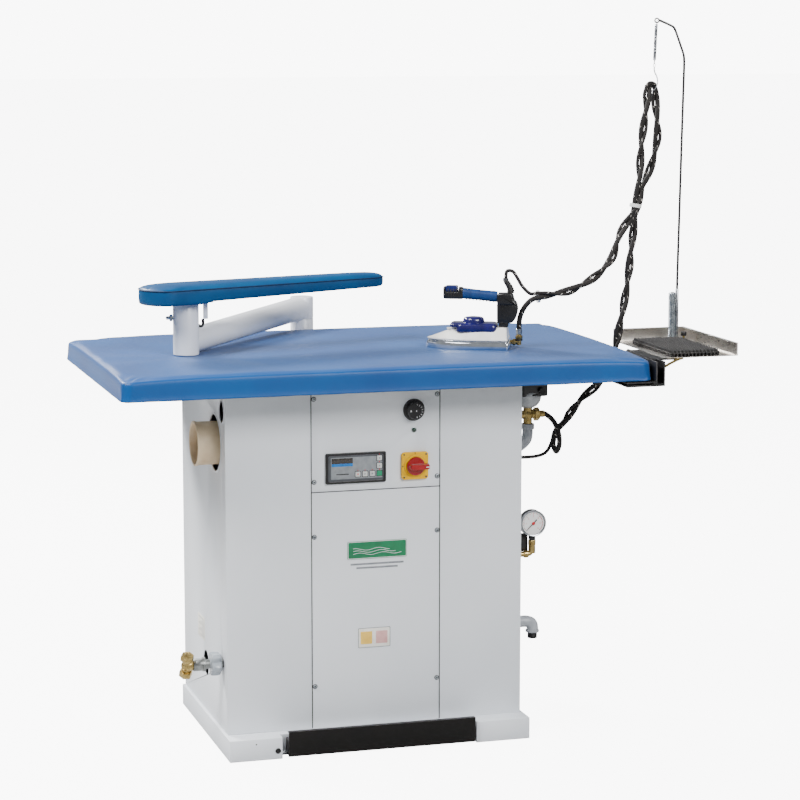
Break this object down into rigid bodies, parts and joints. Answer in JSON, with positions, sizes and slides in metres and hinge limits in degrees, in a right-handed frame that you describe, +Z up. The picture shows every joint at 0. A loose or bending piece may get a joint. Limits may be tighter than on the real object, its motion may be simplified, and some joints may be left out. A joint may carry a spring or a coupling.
{
  "type": "vacuum ironing table with steam generator iron",
  "caption": "Free-standing vacuum ironing table: padded blue top on a white cabinet with built-in boiler and fan, hand steam iron on twin cords, iron tray, sprung cord support and sleeve arm.",
  "frame": {"origin": "on the floor, under the middle of the cabinet", "axes": "+Z up, +Y to the back, +X along the table towards the iron's tray"},
  "size_m": [1.475, 0.834, 1.6838],
  "materials": {
    "white_paint": "satin powder coat",
    "galvanised": "galvanised sheet",
    "steel": "bright steel",
    "stainless": "stainless sheet",
    "polished_aluminium": "polished",
    "cast_iron": "dark paint",
    "brass": "plain",
    "copper": "copper coloured",
    "blue_cloth": "heat resistant cover cloth over felt padding",
    "beige_plastic": "moulded",
    "black_plastic": "moulded",
    "grey_plastic": "moulded",
    "clear_plastic": "translucent grey",
    "yellow_plastic": "moulded",
    "red_plastic": "moulded",
    "green_lens": "lamp lens",
    "blue_plastic": "moulded",
    "purple_plastic": "moulded",
    "ivory_enamel": "enamel",
    "black_braid": "braided sleeve",
    "black_paint": "powder coat",
    "zinc": "zinc plated",
    "key_plastic": "moulded"
  },
  "bodies": {
    "base": {"plinth": "white_paint", "pedal_shaft": "steel", "left_cover": "white_paint", "right_cover": "white_paint", "rear_cover": "white_paint", "control_panel": "white_paint", "service_panel": "white_paint", "chassis_frame": "galvanised", "board_cover": "blue_cloth", "vacuum_tray": "galvanised", "perforated_plate": "steel", "fan_housing": "galvanised", "fan_motor": "cast_iron", "exhaust_duct": "beige_plastic", "boiler_vessel": "cast_iron", "heating_element": "copper", "controller_case": "black_plastic", "switch_plate": "yellow_plastic", "pilot_lamp": "green_lens", "drain_pipe": "galvanised", "drain_cock": "brass", "valve_body": "brass", "valve_coil": "black_plastic", "condensate_pipe": "grey_plastic", "cable_gland": "black_plastic", "gauge_case": "black_plastic", "gauge_elbow": "brass", "supply_elbow": "galvanised", "sleeve_post": "white_paint", "iron_tray": "stainless", "rest_mat": "black_plastic", "tray_bracket": "black_paint", "rod_socket": "zinc", "support_rod": "steel", "balance_spring": "steel", "steam_hose": "black_braid", "iron_cable": "black_braid"},
    "pedal": {"pedal": "black_paint"},
    "switch_handle": {"switch_handle": "red_plastic"},
    "thermostat_knob": {"thermostat_knob": "black_plastic"},
    "key_1": {"key_1": "key_plastic"},
    "key_2": {"key_2": "key_plastic"},
    "key_3": {"key_3": "key_plastic"},
    "key_4": {"key_4": "key_plastic"},
    "key_5": {"key_5": "key_plastic"},
    "key_6": {"key_6": "key_plastic"},
    "fan_rotor": {"fan_impeller": "galvanised"},
    "drain_knob": {"drain_knob": "clear_plastic"},
    "gauge_needle": {"gauge_needle": "red_plastic"},
    "sleeve_arm": {"sleeve_arm": "white_paint"},
    "sleeve_board": {"sleeve_board_frame": "white_paint", "sleeve_board_cover": "blue_cloth"},
    "iron": {"soleplate": "polished_aluminium", "iron_shell": "ivory_enamel", "iron_cap": "purple_plastic", "handle_column": "black_plastic", "handle_grip": "blue_plastic", "iron_strain_relief": "black_plastic", "steam_inlet": "brass"},
    "steam_button": {"steam_button": "blue_plastic"}
  },
  "joints": [
    {"name": "pedal_press", "type": "hinge", "parent": "base", "child": "pedal", "pos_m": [0, -0.276, 0.012], "axis": [-1, 0, 0], "range_deg": [0, 5], "stiffness_Nm_per_rad": 8},
    {"name": "switch_turn", "type": "hinge", "parent": "base", "child": "switch_handle", "pos_m": [0.092, -0.2574, 0.66], "axis": [0, 1, 0], "range_deg": [0, 90]},
    {"name": "thermostat_turn", "type": "hinge", "parent": "base", "child": "thermostat_knob", "pos_m": [0.091, -0.24, 0.79], "axis": [0, 1, 0], "range_deg": [0, 270]},
    {"name": "key_1_press", "type": "slide", "parent": "base", "child": "key_1", "axis": [0, 1, 0], "range_m": [0, 0.0005], "stiffness_N_per_m": 1200},
    {"name": "key_2_press", "type": "slide", "parent": "base", "child": "key_2", "axis": [0, 1, 0], "range_m": [0, 0.0005], "stiffness_N_per_m": 1200},
    {"name": "key_3_press", "type": "slide", "parent": "base", "child": "key_3", "axis": [0, 1, 0], "range_m": [0, 0.0005], "stiffness_N_per_m": 1200},
    {"name": "key_4_press", "type": "slide", "parent": "base", "child": "key_4", "axis": [0, 1, 0], "range_m": [0, 0.0005], "stiffness_N_per_m": 1200},
    {"name": "key_5_press", "type": "slide", "parent": "base", "child": "key_5", "axis": [0, 1, 0], "range_m": [0, 0.0005], "stiffness_N_per_m": 1200},
    {"name": "key_6_press", "type": "slide", "parent": "base", "child": "key_6", "axis": [0, 1, 0], "range_m": [0, 0.0005], "stiffness_N_per_m": 1200},
    {"name": "fan_spin", "type": "hinge", "parent": "base", "child": "fan_rotor", "pos_m": [-0.19, -0.045, 0.667], "axis": [0, 0, 1], "continuous": true},
    {"name": "drain_knob_turn", "type": "hinge", "parent": "base", "child": "drain_knob", "pos_m": [-0.372, -0.19, 0.21], "axis": [1, 0, 0], "range_deg": [0, 270]},
    {"name": "gauge_needle_turn", "type": "hinge", "parent": "base", "child": "gauge_needle", "pos_m": [0.427, -0.1226, 0.481], "axis": [0, 1, 0], "range_deg": [0, 270]},
    {"name": "sleeve_arm_swivel", "type": "hinge", "parent": "base", "child": "sleeve_arm", "pos_m": [-0.007, 0.42, 0.95], "axis": [0, 0, 1], "range_deg": [-100, 5]},
    {"name": "sleeve_board_turn", "type": "hinge", "parent": "sleeve_arm", "child": "sleeve_board", "pos_m": [-0.4, -0.039, 1], "axis": [0, 0, 1], "range_deg": [-90, 90]},
    {"name": "iron_stroke", "type": "slide", "parent": "base", "child": "iron", "axis": [-0.9205, 0.3907, 0], "range_m": [0, 0.08]},
    {"name": "steam_button_press", "type": "slide", "parent": "iron", "child": "steam_button", "axis": [0, 0, -1], "range_m": [0, 0.002], "stiffness_N_per_m": 800}
  ]
}
